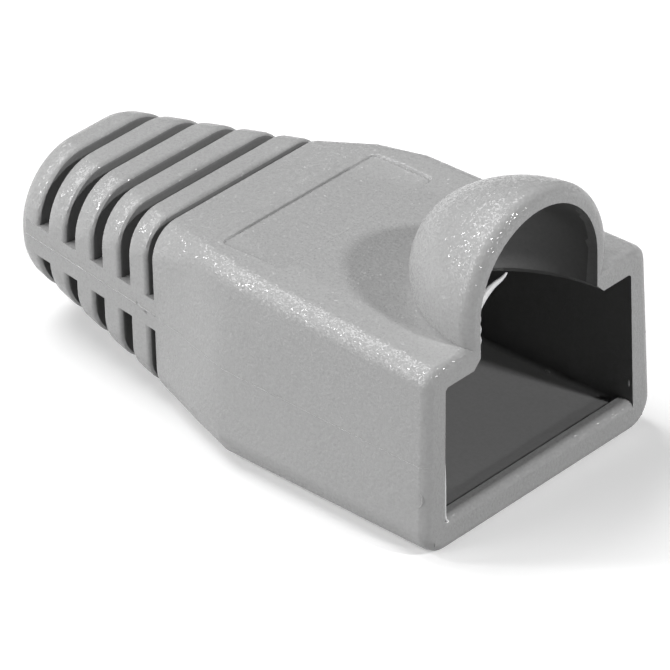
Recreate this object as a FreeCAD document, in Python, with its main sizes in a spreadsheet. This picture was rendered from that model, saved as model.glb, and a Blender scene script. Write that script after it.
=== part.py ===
import FreeCAD, Part
import math
import os

import Sketcher

# Strain relief boot for an 8-way modular plug, one soft moulding. The plug sits in the square
# mouth, its latch lies under the hood, and the cable leaves through the slotted tail.
# The body is drawn about the cable's axis, with +X out of the mouth and +Z up, in millimetres.
# It is then placed with its origin under the middle of the boot, on the surface it stands on.
# A station is a distance behind the mouth's face.

SIZES = (
    # The plug's seat.
    ("cavity_width", 11.6, "inside width of the mouth at the floor"),
    ("cavity_lean", 0.15, "how far each inner wall leans in from floor to roof"),
    ("cavity_height", 6.6, "inside height of the mouth"),
    ("cavity_round", 0.2, "radius along the inner corners"),
    ("cavity_depth", 12.2, "length of the plug's seat"),
    ("core_draft", 0.1, "how far each inner wall closes in along the seat"),
    # The walls round it.
    ("side_wall", 1.2, "thickness of each side wall at the floor"),
    ("floor_wall", 1.05, "thickness of the floor"),
    ("roof_wall", 1.05, "thickness of the roof at the mouth"),
    ("flank_lean", 0.3, "how far each outer side leans in from bottom to top at the mouth"),
    ("sole_trim", 0.01, "how much is trimmed flat off the bottom"),
    ("low_round", 1.35, "radius along the outer bottom edges"),
    ("high_round", 0.8, "radius along the outer top edges"),
    ("mouth_round", 0.42, "radius round the outside of the mouth's face"),
    # The shoulder, where the sides turn in.
    ("shoulder_station", 11.25, "distance from the mouth to the shoulder"),
    ("shoulder_narrowing", 0.15, "how far each side has closed in at the shoulder's bottom"),
    ("shoulder_lean", 0.55, "how far each side leans in at the shoulder"),
    ("shoulder_rise", 0.2, "how far the roof has risen at the shoulder"),
    # The brow, where the roof turns down.
    ("brow_station", 13.5, "distance from the mouth to the brow"),
    ("brow_width", 12.5, "outer width at the brow's bottom"),
    ("brow_lean", 0.45, "how far each side leans in at the brow"),
    ("brow_lift", 0.2, "how far the bottom has risen at the brow"),
    ("brow_drop", 0.1, "how far the roof has come down again at the brow"),
    # The neck, where the body meets the first slot.
    ("neck_station", 16.26, "distance from the mouth to the neck"),
    ("neck_width", 10.8, "outer width at the neck"),
    ("neck_height", 8.0, "outer height at the neck"),
    ("neck_round", 1.45, "corner radius at the neck"),
    # The tail.
    ("tail_station", 25.4, "distance from the mouth to the tail's end"),
    ("tail_width", 8.2, "outer width at the tail's end"),
    ("tail_height", 6.5, "outer height at the tail's end"),
    ("tail_round", 3.15, "corner radius at the tail's end"),
    ("tail_edge_round", 0.6, "radius round the tail's end"),
    ("bore_diameter", 5.0, "hole for the cable"),
    ("throat_size", 5.2, "height and width to which the seat narrows at the neck"),
    # The slots that let the tail bend.
    ("first_slot_width", 0.35, "gap between the neck and the first ring"),
    ("gap_core", 4.0, "thickness of the core that carries the rings until the hole takes it away"),
    ("slot_width", 0.64, "gap between two rings"),
    ("ring_pitch", 1.83, "distance from one ring to the next"),
    ("ring_count", 5, "rings behind the neck"),
    ("web_height", 1.45, "height of the bar that joins the rings on each side"),
    ("bar_overlap", 0.6, "how far each bar runs into the neck, and how far it stops from the tail's end"),
    ("ring_round", 0.28, "radius along each ring's edge on the mouth's side"),
    ("ring_back_round", 0.1, "radius along the neck's edge, and along each ring's other edge"),
    # The hood over the plug's latch.
    ("hood_centre_lift", 0.97, "height of the hood's centre line above the roof"),
    ("hood_radius", 3.55, "inside radius of the hood, seen from the mouth"),
    ("hood_reach", 4.94, "inside length of the hood along the boot"),
    ("hood_wall", 0.78, "thickness of the hood"),
    ("hood_nose_round", 3.6, "radius of the back of the hood"),
    ("hood_rim_round", 0.5, "radius along the hood's front edge"),
    ("roof_cut_flare", 0.4, "how far the way from the hood into the seat widens at its end"),
    # The lip that holds the plug in.
    ("lip_height", 0.33, "height of the lip's back edge above the floor"),
    ("lip_depth", 0.75, "length of the lip along the boot"),
    ("lip_slope", 0.12, "how far the lip's top rises to the mouth"),
    ("lip_round", 0.35, "radius along the lip's front edge"),
    # The bare panel sunk into the roof.
    ("panel_station", 9.72, "distance from the mouth to the panel"),
    ("panel_length", 3.3, "size of the panel along the boot"),
    ("panel_width", 9.2, "size of the panel across the boot"),
    ("panel_depth", 0.2, "depth of the panel"),
    ("panel_round", 0.3, "corner radius of the panel"),
)


class Length:
    """A number together with the spreadsheet expression that it comes from."""

    def __init__(self, number, text):
        self.number = number
        self.text = text

    def __add__(self, other):
        return Length(self.number + other.number, f"({self.text} + {other.text})")

    def __sub__(self, other):
        return Length(self.number - other.number, f"({self.text} - {other.text})")

    def __mul__(self, factor):
        if isinstance(factor, Length):
            return Length(self.number * factor.number, f"{self.text} * {factor.text}")
        return Length(self.number * factor, f"{self.text} * {factor}")

    def __truediv__(self, factor):
        if isinstance(factor, Length):
            return Length(self.number / factor.number, f"{self.text} / {factor.text}")
        return Length(self.number / factor, f"{self.text} / {factor}")

    def __neg__(self):
        return Length(-self.number, f"-({self.text})")


class Sizes:
    """The sheet's sizes, each a Length under its alias."""


doc = FreeCAD.newDocument("strain_relief_boot")
sheet = doc.addObject("Spreadsheet::Sheet", "Sizes")
s = Sizes()
for row, (alias, value, meaning) in enumerate(SIZES, 1):
    sheet.set(f"A{row}", meaning)
    sheet.set(f"B{row}", str(value))
    sheet.setAlias(f"B{row}", alias)
    setattr(s, alias, Length(value, f"Sizes.{alias}"))
doc.recompute()

# Levels above and below the cable's axis, which is halfway up the plug's seat.
seat_half = s.cavity_height / 2
bottom_drop = seat_half + s.floor_wall
roof_level = seat_half + s.roof_wall
shoulder_level = roof_level + s.shoulder_rise

boot = doc.addObject("PartDesign::Body", "Boot")
boot.Label = "boot"
boot.setExpression("Placement.Base.x", (s.tail_station / 2).text)
boot.setExpression("Placement.Base.z", bottom_drop.text)


def origin_item(role):
    """The body's own origin plane or axis that has this role."""
    return next(item for item in boot.Origin.OriginFeatures if item.Role == role)


def sketch_on(role, name, offset=None):
    """A sketch on one of the body's planes, moved along its normal by a Length."""
    sketch = boot.newObject("Sketcher::SketchObject", name)
    sketch.AttachmentSupport = [(origin_item(role), "")]
    sketch.MapMode = "FlatFace"
    if offset is not None:
        sketch.setExpression("AttachmentOffset.Base.z", offset.text)
    return sketch


def dimension(sketch, kind, *where, length):
    """A driving dimension bound to the sheet."""
    index = sketch.addConstraint(Sketcher.Constraint(kind, *where, length.number))
    sketch.setExpression(f"Constraints[{index}]", length.text)


TINY = 1e-4
START, END, CENTRE = 1, 2, 3
FULL_TURN, HALF_TURN = 360, 180
ORIGIN = (-1, 1)
ACROSS, UPRIGHT = -1, -2


def arc_about(x, y, radius, first, last):
    """An arc about a centre, between two angles in radians."""
    circle = Part.Circle(FreeCAD.Vector(x, y, 0), FreeCAD.Vector(0, 0, 1), radius)
    return Part.ArcOfCircle(circle, first, last)


def section(name, station, half_low, half_high, drop, rise, low_round, high_round):
    """A cross-section of the moulding or of its core: a rounded trapezoid, alike on both sides.

    half_low and half_high are its half widths, drop and rise its reach below and above the axis."""
    sketch = sketch_on("YZ_Plane", name, -station)
    low_x = half_low.number - low_round.number
    high_x = half_high.number - high_round.number
    low_y = low_round.number - drop.number
    high_y = rise.number - high_round.number
    corners = (
        (low_x, low_y, low_round.number, -90, 0),
        (high_x, high_y, high_round.number, 0, 90),
        (-high_x, high_y, high_round.number, 90, 180),
        (-low_x, low_y, low_round.number, 180, 270),
    )
    arcs = []
    for x, y, radius, first, last in corners:
        arc = arc_about(x, y, radius, math.radians(first), math.radians(last))
        arcs.append(sketch.addGeometry(arc))
    sides = []
    for index, arc in enumerate(arcs):
        following = arcs[(index + 1) % len(arcs)]
        leave = sketch.getPoint(arc, END)
        reach = sketch.getPoint(following, START)
        sides.append(sketch.addGeometry(Part.LineSegment(leave, reach)))
        sketch.addConstraint(Sketcher.Constraint("Tangent", arc, END, sides[index], START))
        sketch.addConstraint(Sketcher.Constraint("Tangent", sides[index], END, following, START))
    for right, left in ((arcs[0], arcs[3]), (arcs[1], arcs[2])):
        sketch.addConstraint(Sketcher.Constraint("Symmetric", left, CENTRE, right, CENTRE, UPRIGHT))
        sketch.addConstraint(Sketcher.Constraint("Equal", left, right))
    dimension(sketch, "Radius", arcs[0], length=low_round)
    dimension(sketch, "Radius", arcs[1], length=high_round)
    dimension(sketch, "DistanceX", *ORIGIN, arcs[0], CENTRE, length=half_low - low_round)
    dimension(sketch, "DistanceX", *ORIGIN, arcs[1], CENTRE, length=half_high - high_round)
    dimension(sketch, "DistanceY", arcs[0], CENTRE, *ORIGIN, length=drop - low_round)
    dimension(sketch, "DistanceY", *ORIGIN, arcs[1], CENTRE, length=rise - high_round)
    return sketch


def loft(kind, name, sections):
    """A ruled loft through sections, added to the body or cut from it."""
    feature = boot.newObject(kind, name)
    feature.Profile = sections[0]
    feature.Sections = sections[1:]
    feature.Ruled = True
    doc.recompute()
    return feature


def pocket(name, profile, depth=None):
    """A cut from a sketch or a face: to a depth, or right through where none is given."""
    cut = boot.newObject("PartDesign::Pocket", name)
    cut.Profile = profile
    if depth is None:
        cut.Type = "ThroughAll"
    else:
        cut.setExpression("Length", depth.text)
    before = boot.Shape.Volume
    doc.recompute()
    if boot.Shape.Volume >= before:
        raise RuntimeError(f"{name} cuts nothing")
    return cut


def polygon(sketch, points):
    """A closed outline through points, each a pair of Lengths from the sketch's origin."""
    spots = [FreeCAD.Vector(x.number, y.number, 0) for x, y in points]
    lines = []
    for index, spot in enumerate(spots):
        following = spots[(index + 1) % len(spots)]
        lines.append(sketch.addGeometry(Part.LineSegment(spot, following)))
    for index, line in enumerate(lines):
        following = lines[(index + 1) % len(lines)]
        sketch.addConstraint(Sketcher.Constraint("Coincident", line, END, following, START))
    for line, (x, y) in zip(lines, points):
        for kind, distance in (("DistanceX", x), ("DistanceY", y)):
            if distance.number < 0:
                dimension(sketch, kind, line, START, *ORIGIN, length=-distance)
            elif distance.number > 0:
                dimension(sketch, kind, *ORIGIN, line, START, length=distance)
            else:
                axis = UPRIGHT if kind == "DistanceX" else ACROSS
                sketch.addConstraint(Sketcher.Constraint("PointOnObject", line, START, axis))
    return lines


def edge_feature(kind, name, size_property, size, wanted):
    """A fillet or chamfer on the edges whose box and middle pass a test, in the body's own frame."""
    base = boot.Tip
    names = []
    for index, edge in enumerate(base.Shape.Edges, 1):
        first, last = edge.ParameterRange
        if wanted(edge.BoundBox, edge.valueAt((first + last) / 2)):
            names.append(f"Edge{index}")
    if not names:
        raise RuntimeError(f"{name} finds no edge")
    feature = boot.newObject(kind, name)
    feature.Base = (base, names)
    feature.setExpression(size_property, size.text)
    doc.recompute()
    return feature


# A rounded edge is made of flat steps: how far each lies back from the face, and how far in from
# the full size, as shares of the edge's radius.
ROUND_STEPS = [(1 - math.cos(math.radians(angle)), 1 - math.sin(math.radians(angle)))
               for angle in (0, 30, 60)]


def rounded_end(name, face, into, radius, profile):
    """The sections of a rounded edge, from the face inwards, without the full section at its end.

    face is the face's station, into is 1 if the part lies behind it and -1 if it lies in front.
    profile(name, station, inset) draws one section."""
    return [profile(f"{name}{step}", face + radius * (back * into), radius * inset)
            for step, (back, inset) in enumerate(ROUND_STEPS, 1)]


# The outside: a drafted box, a shoulder, a brow and a neck.
mouth_station = Length(0.0, "0")
mouth_half = s.cavity_width / 2 + s.side_wall
shoulder_half = mouth_half - s.shoulder_narrowing
neck_half = s.neck_width / 2
tail_half = s.tail_width / 2
untrimmed_drop = bottom_drop + s.sole_trim


def mouth_profile(name, station, inset):
    """The box at the mouth, drawn in by an inset all round."""
    half = mouth_half - inset
    return section(name, station, half, half - s.flank_lean, untrimmed_drop - inset,
                   roof_level - inset, s.low_round - inset, s.high_round - inset)


def tail_profile(name, station, inset):
    """The tail at a station between the neck and its end, drawn in by an inset all round."""
    share = (station - s.neck_station) / (s.tail_station - s.neck_station)
    half = neck_half - (neck_half - tail_half) * share - inset
    height = s.neck_height / 2 - (s.neck_height / 2 - s.tail_height / 2) * share - inset
    corner = s.neck_round - (s.neck_round - s.tail_round) * share - inset
    return section(name, station, half, half, height, height, corner, corner)


no_inset = Length(0.0, "0")
outside = rounded_end("MouthEdge", mouth_station, 1, s.mouth_round, mouth_profile)
outside += [
    mouth_profile("Mouth", s.mouth_round, no_inset),
    section("Shoulder", s.shoulder_station, shoulder_half, shoulder_half - s.shoulder_lean,
            untrimmed_drop, shoulder_level, s.low_round, s.high_round),
    section("Brow", s.brow_station, s.brow_width / 2, s.brow_width / 2 - s.brow_lean,
            bottom_drop - s.brow_lift, shoulder_level - s.brow_drop, s.low_round, s.high_round),
    tail_profile("Neck", s.neck_station - s.ring_back_round, no_inset),
]
outside += reversed(rounded_end("NeckEdge", s.neck_station, -1, s.ring_back_round, tail_profile))
loft("PartDesign::AdditiveLoft", "Outside", outside)

# The hood over the latch: half an egg, cut at the mouth, with its centre line above the roof.
def quarter_egg(name, length, radius, nose, rim=None):
    """A quarter of an egg behind the mouth and above the hood's centre line, ready to be turned.

    A long arc runs over the top into a nose arc at the back; rim rounds its front edge."""
    sketch = sketch_on("XZ_Plane", name)
    sketch.setExpression("AttachmentOffset.Base.y", hood_level.text)
    nose_x = nose.number - length.number
    drop = (nose_x ** 2 - (radius.number - nose.number) ** 2) / (radius.number - nose.number) / 2
    long_radius = radius.number + drop
    joint = math.atan2(drop, nose_x)
    start = math.pi / 2
    if rim:
        rim_rise = math.sqrt((long_radius - rim.number) ** 2 - rim.number ** 2)
        start = math.atan2(rim_rise, -rim.number)
        rim_arc = sketch.addGeometry(arc_about(-rim.number, rim_rise - drop, rim.number, 0, start))
    long_arc = sketch.addGeometry(arc_about(0, -drop, long_radius, start, joint))
    nose_arc = sketch.addGeometry(arc_about(nose_x, 0, nose.number, joint, math.pi))
    middle = FreeCAD.Vector(0, 0, 0)
    first = rim_arc if rim else long_arc
    base = sketch.addGeometry(Part.LineSegment(sketch.getPoint(nose_arc, END), middle))
    front = sketch.addGeometry(Part.LineSegment(middle, sketch.getPoint(first, START)))
    top = sketch.addGeometry(Part.Point(FreeCAD.Vector(0, radius.number, 0)), True)
    sketch.addConstraint([
        Sketcher.Constraint("Coincident", base, END, *ORIGIN),
        Sketcher.Constraint("Coincident", front, START, *ORIGIN),
        Sketcher.Constraint("Coincident", nose_arc, END, base, START),
        Sketcher.Constraint("PointOnObject", base, START, ACROSS),
        Sketcher.Constraint("PointOnObject", front, END, UPRIGHT),
        Sketcher.Constraint("PointOnObject", long_arc, CENTRE, UPRIGHT),
        Sketcher.Constraint("PointOnObject", nose_arc, CENTRE, ACROSS),
        Sketcher.Constraint("Tangent", long_arc, END, nose_arc, START),
        Sketcher.Constraint("PointOnObject", top, START, UPRIGHT),
        Sketcher.Constraint("PointOnObject", top, START, long_arc),
    ])
    if rim:
        sketch.addConstraint(Sketcher.Constraint("Tangent", front, END, rim_arc, START))
        sketch.addConstraint(Sketcher.Constraint("Tangent", rim_arc, END, long_arc, START))
        dimension(sketch, "Radius", rim_arc, length=rim)
    else:
        sketch.addConstraint(Sketcher.Constraint("Coincident", front, END, long_arc, START))
    dimension(sketch, "Radius", nose_arc, length=nose)
    dimension(sketch, "Distance", base, length=length)
    dimension(sketch, "DistanceY", *ORIGIN, top, START, length=radius)
    return sketch


def turned(kind, name, sketch, angle):
    """A sketch turned about its own horizontal axis, half the angle to each side."""
    form = boot.newObject(kind, name)
    form.Profile = sketch
    form.ReferenceAxis = (sketch, ["H_Axis"])
    form.Midplane = True
    form.Angle = angle
    doc.recompute()
    return form


hood_level = roof_level + s.hood_centre_lift
hood_profile = quarter_egg("HoodSketch", s.hood_reach + s.hood_wall, s.hood_radius + s.hood_wall,
                           s.hood_nose_round, s.hood_rim_round)
turned("PartDesign::Revolution", "Hood", hood_profile, FULL_TURN)

# The rings, strung on a core that the cable's hole takes away.
core_radius = s.gap_core / 2
core_sketch = sketch_on("YZ_Plane", "CoreSketch", -s.neck_station)
core_circle = core_sketch.addGeometry(
    Part.Circle(FreeCAD.Vector(0, 0, 0), FreeCAD.Vector(0, 0, 1), core_radius.number))
core_sketch.addConstraint(Sketcher.Constraint("Coincident", core_circle, CENTRE, *ORIGIN))
dimension(core_sketch, "Radius", core_circle, length=core_radius)
rod = boot.newObject("PartDesign::Pad", "Core")
rod.Profile = core_sketch
rod.Reversed = True
rod.setExpression("Length", (s.tail_station - s.neck_station).text)
doc.recompute()
for ring in range(s.ring_count.number):
    front = s.neck_station + s.first_slot_width + s.ring_pitch * ring
    back = front + s.ring_pitch - s.slot_width
    back_round = s.ring_back_round
    if ring == s.ring_count.number - 1:
        back = s.tail_station
        back_round = s.tail_edge_round
    label = f"Ring{ring + 1}"
    sections = rounded_end(f"{label}Front", front, 1, s.ring_round, tail_profile)
    sections.append(tail_profile(f"{label}Start", front + s.ring_round, no_inset))
    sections.append(tail_profile(f"{label}End", back - back_round, no_inset))
    sections += reversed(rounded_end(f"{label}Back", back, -1, back_round, tail_profile))
    loft("PartDesign::AdditiveLoft", label, sections)

# The bar along each side that joins the rings, flush with them, drawn as one plate right across.
bar_front = s.neck_station - s.bar_overlap
bar_back = s.tail_station - s.bar_overlap
taper = (neck_half - tail_half) / (s.tail_station - s.neck_station)
bar_front_half = neck_half + taper * s.bar_overlap
bar_back_half = tail_half + taper * s.bar_overlap
bar_sketch = sketch_on("XY_Plane", "BarSketch")
polygon(bar_sketch, [
    (-bar_front, -bar_front_half),
    (-bar_front, bar_front_half),
    (-bar_back, bar_back_half),
    (-bar_back, -bar_back_half),
])
bars = boot.newObject("PartDesign::Pad", "Bars")
bars.Profile = bar_sketch
bars.SideType = "Symmetric"
bars.setExpression("Length", s.web_height.text)
doc.recompute()

# The plug's seat, open at the mouth, which closes in to the cable's hole at the neck.
seat_width_half = s.cavity_width / 2
seat_end_half = seat_width_half - s.core_draft
throat_half = s.throat_size / 2
core = [
    section("Entry", mouth_station, seat_width_half, seat_width_half - s.cavity_lean,
            seat_half, seat_half, s.cavity_round, s.cavity_round),
    section("SeatEnd", s.cavity_depth, seat_end_half, seat_end_half - s.cavity_lean,
            seat_half - s.core_draft, seat_half - s.core_draft, s.cavity_round, s.cavity_round),
    section("Throat", s.neck_station, throat_half, throat_half, throat_half, throat_half,
            s.cavity_round, s.cavity_round),
]
loft("PartDesign::SubtractiveLoft", "Seat", core)


# The cable's hole through the tail.
bore_radius = s.bore_diameter / 2
bore_sketch = sketch_on("YZ_Plane", "BoreSketch", -s.neck_station)
bore_circle = bore_sketch.addGeometry(
    Part.Circle(FreeCAD.Vector(0, 0, 0), FreeCAD.Vector(0, 0, 1), bore_radius.number))
bore_sketch.addConstraint(Sketcher.Constraint("Coincident", bore_circle, CENTRE, *ORIGIN))
dimension(bore_sketch, "Radius", bore_circle, length=bore_radius)
pocket("Bore", bore_sketch)


# The hollow of the hood, and the way down from it through the roof into the seat.
hollow_profile = quarter_egg("HoodHollowSketch", s.hood_reach, s.hood_radius,
                             s.hood_nose_round - s.hood_wall)
hollow = turned("PartDesign::Groove", "HoodHollow", hollow_profile, HALF_TURN)
hollow_floor = next(
    f"Face{index}" for index, face in enumerate(hollow.Shape.Faces, 1)
    if face.BoundBox.ZLength < TINY and abs(face.BoundBox.ZMin - hood_level.number) < TINY)
pocket("Well", (hollow, [hollow_floor]), depth=hood_level)
edge_feature("PartDesign::Chamfer", "RoofCut", "Size", s.roof_cut_flare, lambda box, middle: (
    box.XLength > TINY and box.XMin > -s.hood_reach.number - TINY
    and abs(middle.y) < s.hood_radius.number + TINY
    and abs(middle.z - seat_half.number) < s.core_draft.number + TINY))

# The lip across the floor of the mouth, highest at the front.
lip_sketch = sketch_on("XZ_Plane", "LipSketch")
lip_foot = -(seat_half + s.floor_wall / 2)
lip_back = s.lip_height - seat_half
polygon(lip_sketch, [
    (mouth_station, lip_foot),
    (mouth_station, lip_back + s.lip_slope),
    (-s.lip_depth, lip_back),
    (-s.lip_depth, lip_foot),
])
lip = boot.newObject("PartDesign::Pad", "Lip")
lip.Profile = lip_sketch
lip.SideType = "Symmetric"
lip.setExpression("Length", (s.cavity_width + s.side_wall).text)
doc.recompute()
lip_top = (lip_back + s.lip_slope).number
edge_feature("PartDesign::Fillet", "LipEdge", "Radius", s.lip_round, lambda box, middle: (
    box.XMin > -TINY and box.ZLength < TINY and abs(middle.z - lip_top) < TINY))


# The bare panel sunk into the roof across the shoulder.
panel_sketch = sketch_on("XY_Plane", "PanelSketch", shoulder_level)
panel_front = -s.panel_station
panel_back = panel_front - s.panel_length
panel_half = s.panel_width / 2
polygon(panel_sketch, [
    (panel_front, -panel_half),
    (panel_front, panel_half),
    (panel_back, panel_half),
    (panel_back, -panel_half),
])
pocket("Panel", panel_sketch, depth=s.panel_depth)
edge_feature("PartDesign::Fillet", "PanelCorners", "Radius", s.panel_round, lambda box, middle: (
    box.XLength < TINY and box.YLength < TINY and middle.z > roof_level.number - s.panel_depth.number
    and middle.x < panel_front.number + TINY))

# The bottom is trimmed flat, so that the boot stands on a true plane.
sole_sketch = sketch_on("XY_Plane", "SoleSketch", -bottom_drop)
sole_half = mouth_half + s.side_wall
polygon(sole_sketch, [
    (s.side_wall, -sole_half),
    (s.side_wall, sole_half),
    (-s.tail_station, sole_half),
    (-s.tail_station, -sole_half),
])
pocket("Sole", sole_sketch)

# Nothing is written unless every object built and the boot is one closed solid.
for item in doc.Objects:
    if "Invalid" in item.State or "Error" in item.State:
        raise RuntimeError(f"{item.Name} failed: {item.State}")
if boot.Shape.isNull() or not boot.Shape.isValid() or len(boot.Shape.Solids) != 1:
    raise RuntimeError("the boot is not one valid solid")

os.makedirs("parts", exist_ok=True)
boot.Shape.exportStep(f"parts/{boot.Label}.step")
print(f"{boot.Label}: {boot.Shape.Volume:.1f} cubic mm")
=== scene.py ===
from math import cos, hypot, radians, sin

import bmesh
import bpy
from mathutils import Matrix, Vector


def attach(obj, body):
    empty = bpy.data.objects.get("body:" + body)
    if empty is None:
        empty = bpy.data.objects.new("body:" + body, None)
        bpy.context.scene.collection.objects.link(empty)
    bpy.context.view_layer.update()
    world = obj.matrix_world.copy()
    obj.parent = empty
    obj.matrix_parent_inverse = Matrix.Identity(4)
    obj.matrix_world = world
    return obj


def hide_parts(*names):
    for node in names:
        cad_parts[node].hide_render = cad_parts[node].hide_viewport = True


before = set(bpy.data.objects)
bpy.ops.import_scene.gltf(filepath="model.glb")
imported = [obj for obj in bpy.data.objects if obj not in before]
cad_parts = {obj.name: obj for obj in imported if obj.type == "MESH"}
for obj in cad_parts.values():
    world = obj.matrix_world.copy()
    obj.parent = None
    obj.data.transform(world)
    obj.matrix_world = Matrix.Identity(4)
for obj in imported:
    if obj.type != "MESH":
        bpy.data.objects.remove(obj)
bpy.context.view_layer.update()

# The boot: one moulding in soft mid-grey plastic, most likely PVC. Its dull grain,
# as a spark-eroded mould leaves it, glitters along the rounded edges. The darker
# skin inside is painted shade, a guess that stands in for the deep shade there.
millimetre = 0.001
neck = -3.56
tail = -12.7
cable_level = 4.35
latch_level = 9.67
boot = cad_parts["boot"]
boot_skin = boot.data.copy()
boot_skin.materials.clear()
moulding_piece = bpy.data.objects.new("moulding", boot_skin)
bpy.context.scene.collection.objects.link(moulding_piece)
moulding_piece.matrix_world = boot.matrix_world
boot_mesh = bmesh.new()
boot_mesh.from_mesh(boot_skin)
bmesh.ops.transform(boot_mesh, matrix=boot.matrix_world, verts=boot_mesh.verts)
bmesh.ops.remove_doubles(boot_mesh, verts=boot_mesh.verts, dist=0.0005 * millimetre)
bmesh.ops.dissolve_limit(
    boot_mesh, angle_limit=radians(0.3), verts=boot_mesh.verts, edges=boot_mesh.edges)
# The rim of the sunk panel is worn soft, so it catches the light all round.
panel_back = -0.5
panel_front = 3.1
panel_side = 4.7
panel_level = 8.6
worn_edge = 0.13 * millimetre
panel_rim = []
for edge in boot_mesh.edges:
    x, y, z = (value / millimetre for value in (edge.verts[0].co + edge.verts[1].co) / 2)
    walls = [face for face in edge.link_faces if abs(face.normal.z) < 0.2]
    roofs = [face for face in edge.link_faces if face.normal.z > 0.9]
    on_panel = panel_back < x < panel_front and abs(y) < panel_side and z > panel_level
    if on_panel and walls and roofs:
        wall_level = walls[0].calc_center_median().z / millimetre
        if wall_level < z - 0.02:
            panel_rim.append(edge)
bmesh.ops.bevel(
    boot_mesh, geom=panel_rim, offset=worn_edge, segments=2, profile=0.5, affect="EDGES")
# An edge stays crisp where it is sharp, and where it is a faint crease between two broad faces.
broad_face = 8 * millimetre ** 2
sharp_turn = radians(35)
faint_turn = radians(0.5)
for face in boot_mesh.faces:
    face.smooth = True
for edge in boot_mesh.edges:
    if len(edge.link_faces) == 2:
        turn = edge.calc_face_angle()
        both_broad = min(face.calc_area() for face in edge.link_faces) > broad_face
        edge.smooth = turn < sharp_turn and not (both_broad and turn > faint_turn)
# The painted shade, a darker skin, goes on the seat, the hood's hollow, the way between them and the
# cable's hole, whose faces all look inwards, and on the walls of the slots.
for face in boot_mesh.faces:
    x, y, z = (value / millimetre for value in face.calc_center_median())
    corners = [vert.co / millimetre for vert in face.verts]
    faces_cable = y * face.normal.y + (z - cable_level) * face.normal.z < 0.01
    faces_latch = y * face.normal.y + (z - latch_level) * face.normal.z < 0.01
    in_seat = x < 11.5 and faces_cable and all(
        corner.x > -3.6 and abs(corner.y) < 5.9 and 0.8 < corner.z < 7.95 for corner in corners)
    in_way_up = x < 12.2 and faces_latch and all(
        corner.x > 6.5 and abs(corner.y) < 3.8 and 7.6 < corner.z < 9.9 for corner in corners)
    in_hood = x < 12.2 and faces_latch and all(
        corner.x > 6.5 and hypot(corner.y, corner.z - latch_level) < 3.9 for corner in corners)
    in_hole = faces_cable and all(
        hypot(corner.y, corner.z - cable_level) < 2.7 for corner in corners)
    in_slot = tail + 0.1 < x < neck + 0.01 and abs(face.normal.x) > 0.9
    face.material_index = 1 if in_seat or in_way_up or in_hood or in_hole or in_slot else 0
boot_mesh.to_mesh(boot_skin)
boot_mesh.free()
moulding_piece.matrix_world = Matrix.Identity(4)
bpy.ops.object.select_all(action="DESELECT")
moulding_piece.select_set(True)
bpy.context.view_layer.objects.active = moulding_piece
bpy.ops.object.modifier_add(type="WEIGHTED_NORMAL")
flat_faces_first = moulding_piece.modifiers[0]
flat_faces_first.mode = "FACE_AREA"
flat_faces_first.weight = 100
flat_faces_first.keep_sharp = True
bpy.ops.object.modifier_apply(modifier=flat_faces_first.name)

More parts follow.
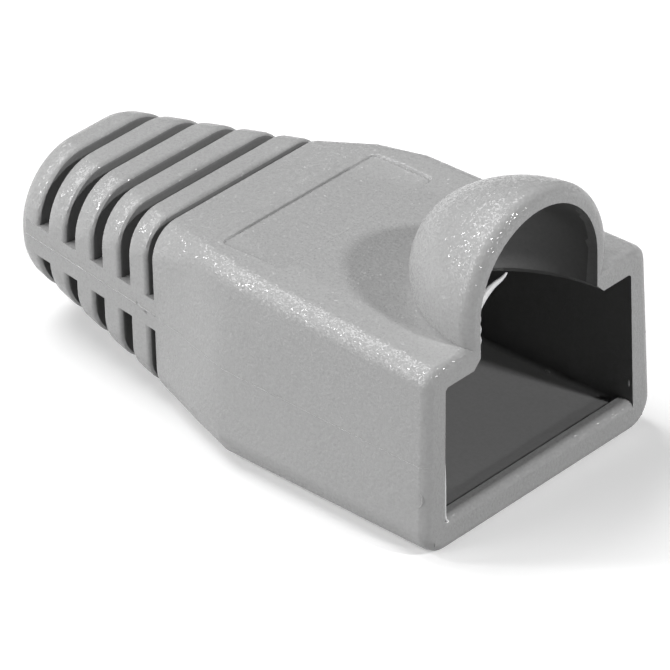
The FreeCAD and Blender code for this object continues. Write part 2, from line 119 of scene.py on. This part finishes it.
for name, dark, light, dull, relief, glitter, polish in (
    ("grey_moulding", 0.355, 0.395, 0.65, 0.7, 0.5, 0.65),
    # painted shade: the inside and the slot walls get this darker tone
    ("inside_painted_shade", 0.22, 0.24, 0.65, 0.15, 0.1, 0.0),
):
    moulding = bpy.data.materials.new(name)
    moulding.use_nodes = True
    nodes = moulding.node_tree.nodes
    links = moulding.node_tree.links
    skin = nodes["Principled BSDF"]
    place = nodes.new("ShaderNodeTexCoord")
    grain = nodes.new("ShaderNodeTexNoise")
    grain.inputs["Scale"].default_value = 7000.0
    grain.inputs["Detail"].default_value = 2.0
    links.new(place.outputs["Object"], grain.inputs["Vector"])
    tint = nodes.new("ShaderNodeValToRGB")
    tint.color_ramp.elements[0].position = 0.3
    tint.color_ramp.elements[0].color = (dark, dark, dark, 1.0)
    tint.color_ramp.elements[1].position = 0.7
    tint.color_ramp.elements[1].color = (light, light, light, 1.0)
    links.new(grain.outputs["Fac"], tint.inputs["Fac"])
    # Painted shade: the colour is darkened round small pits in the side, and nicks by the first slot.
    grain_and_pit_shade = tint.outputs["Color"]
    for x, y, z, radius in (
        (7.8, -6.64, 3.41, 0.17),
        (7.65, -6.64, 3.47, 0.12),
        (-4.1, -5.3, 4.27, 0.14),
        (-4.66, -5.25, 4.45, 0.1),
        (-3.6, -5.36, 3.19, 0.17),
    ):
        apart = nodes.new("ShaderNodeVectorMath")
        apart.operation = "DISTANCE"
        apart.inputs[1].default_value = (x * millimetre, y * millimetre, z * millimetre)
        links.new(place.outputs["Object"], apart.inputs[0])
        # painted shade: the base colour drops towards 0.4 of itself at each listed spot
        pit_shade_mask = nodes.new("ShaderNodeMapRange")
        pit_shade_mask.inputs["From Max"].default_value = radius * millimetre
        pit_shade_mask.inputs["To Min"].default_value = 0.4
        links.new(apart.outputs["Value"], pit_shade_mask.inputs["Value"])
        darker = nodes.new("ShaderNodeVectorMath")
        darker.operation = "MULTIPLY"
        links.new(grain_and_pit_shade, darker.inputs[0])
        links.new(pit_shade_mask.outputs["Result"], darker.inputs[1])
        grain_and_pit_shade = darker.outputs["Vector"]
    links.new(grain_and_pit_shade, skin.inputs["Base Color"])
    gloss = nodes.new("ShaderNodeMapRange")
    gloss.inputs["From Min"].default_value = 0.3
    gloss.inputs["From Max"].default_value = 0.7
    gloss.inputs["To Min"].default_value = dull - 0.15
    gloss.inputs["To Max"].default_value = dull + 0.05
    links.new(grain.outputs["Fac"], gloss.inputs["Value"])
    links.new(gloss.outputs["Result"], skin.inputs["Roughness"])
    bump = nodes.new("ShaderNodeBump")
    bump.inputs["Strength"].default_value = relief
    bump.inputs["Distance"].default_value = 0.03 * millimetre
    links.new(grain.outputs["Fac"], bump.inputs["Height"])
    links.new(bump.outputs["Normal"], skin.inputs["Normal"])
    # The grain's craters glitter one by one: each is a tiny facet with a tilt of its own.
    craters = nodes.new("ShaderNodeTexVoronoi")
    craters.inputs["Scale"].default_value = 15000.0
    links.new(place.outputs["Object"], craters.inputs["Vector"])
    tilt = nodes.new("ShaderNodeVectorMath")
    tilt.operation = "MULTIPLY_ADD"
    tilt.inputs[1].default_value = (glitter, glitter, glitter)
    tilt.inputs[2].default_value = (-glitter / 2, -glitter / 2, -glitter / 2)
    links.new(craters.outputs["Color"], tilt.inputs[0])
    facing = nodes.new("ShaderNodeNewGeometry")
    facet = nodes.new("ShaderNodeVectorMath")
    facet.operation = "ADD"
    links.new(tilt.outputs["Vector"], facet.inputs[0])
    links.new(facing.outputs["Normal"], facet.inputs[1])
    facet_normal = nodes.new("ShaderNodeVectorMath")
    facet_normal.operation = "NORMALIZE"
    links.new(facet.outputs["Vector"], facet_normal.inputs[0])
    skin.inputs["Specular IOR Level"].default_value = 0.1
    skin.inputs["Coat Weight"].default_value = polish
    skin.inputs["Coat Roughness"].default_value = 0.15
    links.new(facet_normal.outputs["Vector"], skin.inputs["Coat Normal"])
    boot_skin.materials.append(moulding)
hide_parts("boot")
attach(moulding_piece, "root")

# The parting line: the fine ridge round the outside where the mould's two halves
# met, level with the cable. It is thicker on the bars between the slots.
parting_level = (cable_level + 0.01) * millimetre


def finish_flash(piece, name, flash_skin):
    """Name a bit of flash, give it its skin and let it ride on the boot."""
    piece.name = name
    piece.data.materials.clear()
    piece.data.materials.append(flash_skin)
    for face in piece.data.polygons:
        face.use_smooth = True
    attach(piece, "root")


for name, thickness, first, last in (
    ("parting_line", 0.015, -3.5, 12.6),
    ("bar_ridge", 0.04, -12.0, -3.5),
):
    bpy.ops.object.select_all(action="DESELECT")
    ridge = moulding_piece.copy()
    ridge.data = boot_skin.copy()
    bpy.context.scene.collection.objects.link(ridge)
    ridge.select_set(True)
    bpy.context.view_layer.objects.active = ridge
    bpy.ops.object.mode_set(mode="EDIT")
    bpy.ops.mesh.select_all(action="SELECT")
    bpy.ops.mesh.bisect(
        plane_co=(0, 0, parting_level), plane_no=(0, 0, 1), clear_inner=True, clear_outer=True)
    bpy.ops.object.mode_set(mode="OBJECT")
    # Of the cut's outline only the outer edges stay: those further out than a line that
    # runs between the inner and the outer walls, from the tail to the box.
    outline = bmesh.new()
    outline.from_mesh(ridge.data)
    hidden = []
    for edge in outline.edges:
        x, y, z = (value / millimetre for value in (edge.verts[0].co + edge.verts[1].co) / 2)
        innermost = min(3.3 + 2.6 * (x - tail) / 14.2, 5.9)
        if abs(y) < innermost or not first < x < last:
            hidden.append(edge)
    bmesh.ops.delete(outline, geom=hidden, context="EDGES")
    bmesh.ops.remove_doubles(outline, verts=outline.verts, dist=0.001 * millimetre)
    outline.to_mesh(ridge.data)
    outline.free()
    bpy.ops.object.convert(target="CURVE")
    ridge = bpy.context.object
    ridge.data.bevel_depth = thickness * millimetre
    ridge.data.bevel_resolution = 2
    bpy.ops.object.convert(target="MESH")
    finish_flash(bpy.context.object, name, boot_skin.materials[0])

# The flash: thin threads of moulding that squeezed out where the mould's parts
# met. One curls in from the hood's rim, and others stay along the mouth's edges.
# The thinnest ones, over the dark mouth, are coloured almost white: painted light on the same plastic.
thin_painted_light_skin = bpy.data.materials.new("thin_moulding_painted_light")
thin_painted_light_skin.use_nodes = True
nodes = thin_painted_light_skin.node_tree.nodes
links = thin_painted_light_skin.node_tree.links
thin_place = nodes.new("ShaderNodeTexCoord")
thin_cloud = nodes.new("ShaderNodeTexNoise")
thin_cloud.inputs["Scale"].default_value = 5000.0
links.new(thin_place.outputs["Object"], thin_cloud.inputs["Vector"])
# painted light: a near-white tone for the thin flash
thin_painted_light_tint = nodes.new("ShaderNodeMapRange")
thin_painted_light_tint.inputs["To Min"].default_value = 0.75
thin_painted_light_tint.inputs["To Max"].default_value = 0.95
links.new(thin_cloud.outputs["Fac"], thin_painted_light_tint.inputs["Value"])
thin_skin_shader = nodes["Principled BSDF"]
links.new(thin_painted_light_tint.outputs["Result"], thin_skin_shader.inputs["Base Color"])
thin_skin_shader.inputs["Roughness"].default_value = 0.4
for name, flash_skin, knots in (
    ("hood_whisker", thin_painted_light_skin, (
        (12.5, -3.56, 9.95, 0.08), (12.5, -3.4, 10.4, 0.17), (12.48, -3.0, 10.7, 0.17),
        (12.48, -2.5, 10.88, 0.12), (12.5, -1.95, 10.95, 0.08), (12.5, -1.75, 11.1, 0.05))),
    ("hood_rim_flash", thin_painted_light_skin, (
        (12.58, -3.5, 10.0, 0.06), (12.58, -3.5, 9.8, 0.1), (12.58, -3.52, 9.6, 0.05),
        (12.58, -3.48, 9.3, 0.1), (12.58, -3.52, 9.05, 0.05), (12.58, -3.48, 8.8, 0.1),
        (12.58, -3.54, 8.5, 0.04), (12.58, -3.5, 8.25, 0.09), (12.58, -3.56, 8.0, 0.03))),
    ("mouth_edge_flash", thin_painted_light_skin, (
        (12.63, -5.7, 4.3, 0.03), (12.63, -5.7, 3.4, 0.06), (12.63, -5.72, 2.4, 0.06),
        (12.63, -5.73, 1.6, 0.06), (12.6, -5.6, 1.3, 0.06), (12.55, -5.2, 1.1, 0.04))),
    ("right_wall_nib", boot_skin.materials[0], (
        (12.5, 5.8, 2.45, 0.03), (12.5, 5.76, 2.3, 0.07), (12.5, 5.8, 2.1, 0.03))),
    ("floor_nib", boot_skin.materials[0], (
        (8.45, 5.72, 1.05, 0.03), (8.2, 5.66, 1.12, 0.12), (7.95, 5.72, 1.05, 0.03))),
    ("side_scratch", boot_skin.materials[0], (
        (12.35, -6.88, 3.3, 0.02), (12.5, -6.88, 3.0, 0.04), (12.5, -6.9, 2.7, 0.04),
        (12.3, -6.92, 2.45, 0.02))),
    ("bar_flash", boot_skin.materials[0], (
        (-6.3, -4.98, 4.5, 0.02), (-5.6, -5.06, 4.55, 0.05), (-5.0, -5.14, 4.42, 0.04),
        (-4.6, -5.2, 4.4, 0.08), (-4.2, -5.28, 4.3, 0.09), (-3.9, -5.32, 4.2, 0.03))),
):
    curve = bpy.data.curves.new(name, "CURVE")
    curve.dimensions = "3D"
    curve.bevel_depth = millimetre
    curve.bevel_resolution = 2
    curve.use_fill_caps = True
    thread = curve.splines.new("NURBS")
    thread.points.add(len(knots) - 1)
    for point, (x, y, z, thickness) in zip(thread.points, knots):
        point.co = (x * millimetre, y * millimetre, z * millimetre, 1)
        point.radius = thickness
    thread.order_u = 3
    thread.use_endpoint_u = True
    bit = bpy.data.objects.new(name, curve)
    bpy.context.scene.collection.objects.link(bit)
    bpy.ops.object.select_all(action="DESELECT")
    bit.select_set(True)
    bpy.context.view_layer.objects.active = bit
    bpy.ops.object.convert(target="MESH")
    finish_flash(bpy.context.object, name, flash_skin)

# The floor: a white sheet that runs out of sight in all directions and keeps
# the boot's shadow.
bpy.ops.object.select_all(action="DESELECT")
bpy.ops.mesh.primitive_plane_add(size=4.0, location=(0, 0, 0))
floor = bpy.context.object
floor.name = "floor"
paper = bpy.data.materials.new("white_paper")
paper.use_nodes = True
paper_skin = paper.node_tree.nodes["Principled BSDF"]
# What the camera sees, straight or in a shiny or clear surface, is white; the light it gives back is dim.
ray = paper.node_tree.nodes.new("ShaderNodeLightPath")
seen = ray.outputs["Is Camera Ray"]
for other in ("Is Glossy Ray", "Is Transmission Ray"):
    either = paper.node_tree.nodes.new("ShaderNodeMath")
    either.operation = "MAXIMUM"
    paper.node_tree.links.new(seen, either.inputs[0])
    paper.node_tree.links.new(ray.outputs[other], either.inputs[1])
    seen = either.outputs["Value"]
paper_tone = paper.node_tree.nodes.new("ShaderNodeMapRange")
paper_tone.inputs["To Min"].default_value = 0.15
paper_tone.inputs["To Max"].default_value = 0.9
paper.node_tree.links.new(seen, paper_tone.inputs["Value"])
paper.node_tree.links.new(paper_tone.outputs["Result"], paper_skin.inputs["Base Color"])
paper_glow = paper.node_tree.nodes.new("ShaderNodeMapRange")
paper_glow.inputs["To Max"].default_value = 0.2
paper.node_tree.links.new(seen, paper_glow.inputs["Value"])
paper.node_tree.links.new(paper_glow.outputs["Result"], paper_skin.inputs["Emission Strength"])
paper_skin.inputs["Emission Color"].default_value = (1.0, 1.0, 1.0, 1.0)
paper_skin.inputs["Roughness"].default_value = 0.9
floor.data.materials.append(paper)

# The camera: off the left corner of the mouth with a long lens, looking down on
# the roof and into the seat.
azimuth = radians(43.065)
elevation = radians(32.128)
roll = radians(-1.394)
distance = 0.261067
lens_turn = Vector((cos(azimuth), sin(azimuth), 0))
back = Vector((sin(azimuth) * cos(elevation), -cos(azimuth) * cos(elevation), sin(elevation)))
upward = back.cross(lens_turn)
right = cos(roll) * lens_turn + sin(roll) * upward
top = -sin(roll) * lens_turn + cos(roll) * upward
middle = Vector((0.0047, 0.0, 0.005)) - 0.0022884 * right - 0.00069604 * top
spot = middle + distance * back
camera_data = bpy.data.cameras.new("camera")
camera_data.lens = 344.28
camera_data.sensor_width = 36.0
camera_data.clip_start = 0.01
camera = bpy.data.objects.new("camera", camera_data)
bpy.context.scene.collection.objects.link(camera)
camera.matrix_world = Matrix((
    (right.x, top.x, back.x, spot.x),
    (right.y, top.y, back.y, spot.y),
    (right.z, top.z, back.z, spot.z),
    (0, 0, 0, 1),
))
bpy.context.scene.camera = camera

# The light: a narrow lamp before the mouth that throws the hood's shadow on the
# roof, a low one under it, and broad soft ones above, behind and to both sides.
for name, direction, reach, width, watts in (
    ("front_lamp", (0.764, 0.143, 0.629), 0.6, 0.05, 1.7),
    ("low_lamp", (0.93, 0.02, 0.3), 0.6, 0.04, 0.8),
    ("right_lamp", (0.15, 0.85, 0.5), 0.5, 0.3, 0.2),
    ("top_lamp", (-0.5, 0.0, 0.86), 0.5, 0.3, 1.55),
    ("left_lamp", (-0.35, -0.8, 0.4), 0.5, 0.3, 0.95),
    ("low_left_lamp", (-0.3, -0.95, 0.06), 0.5, 0.3, 1.15),
    ("edge_lamp", (-0.64, -0.51, 0.58), 0.5, 0.08, 0.7),
):
    light = bpy.data.lights.new(name, "AREA")
    light.shape = "DISK"
    light.size = width
    light.energy = watts
    lamp = bpy.data.objects.new(name, light)
    bpy.context.scene.collection.objects.link(lamp)
    way = Vector(direction).normalized()
    lamp.location = way * reach
    lamp.rotation_euler = way.to_track_quat("Z", "Y").to_euler()

# The room is dark: the white floor fills the view, and the lamps give all the
# light.
world = bpy.data.worlds.new("room")
world.use_nodes = True
bpy.context.scene.world = world
world.node_tree.nodes["Background"].inputs["Color"].default_value = (1, 1, 1, 1)
world.node_tree.nodes["Background"].inputs["Strength"].default_value = 0.0

bpy.context.scene.view_settings.view_transform = "Standard"
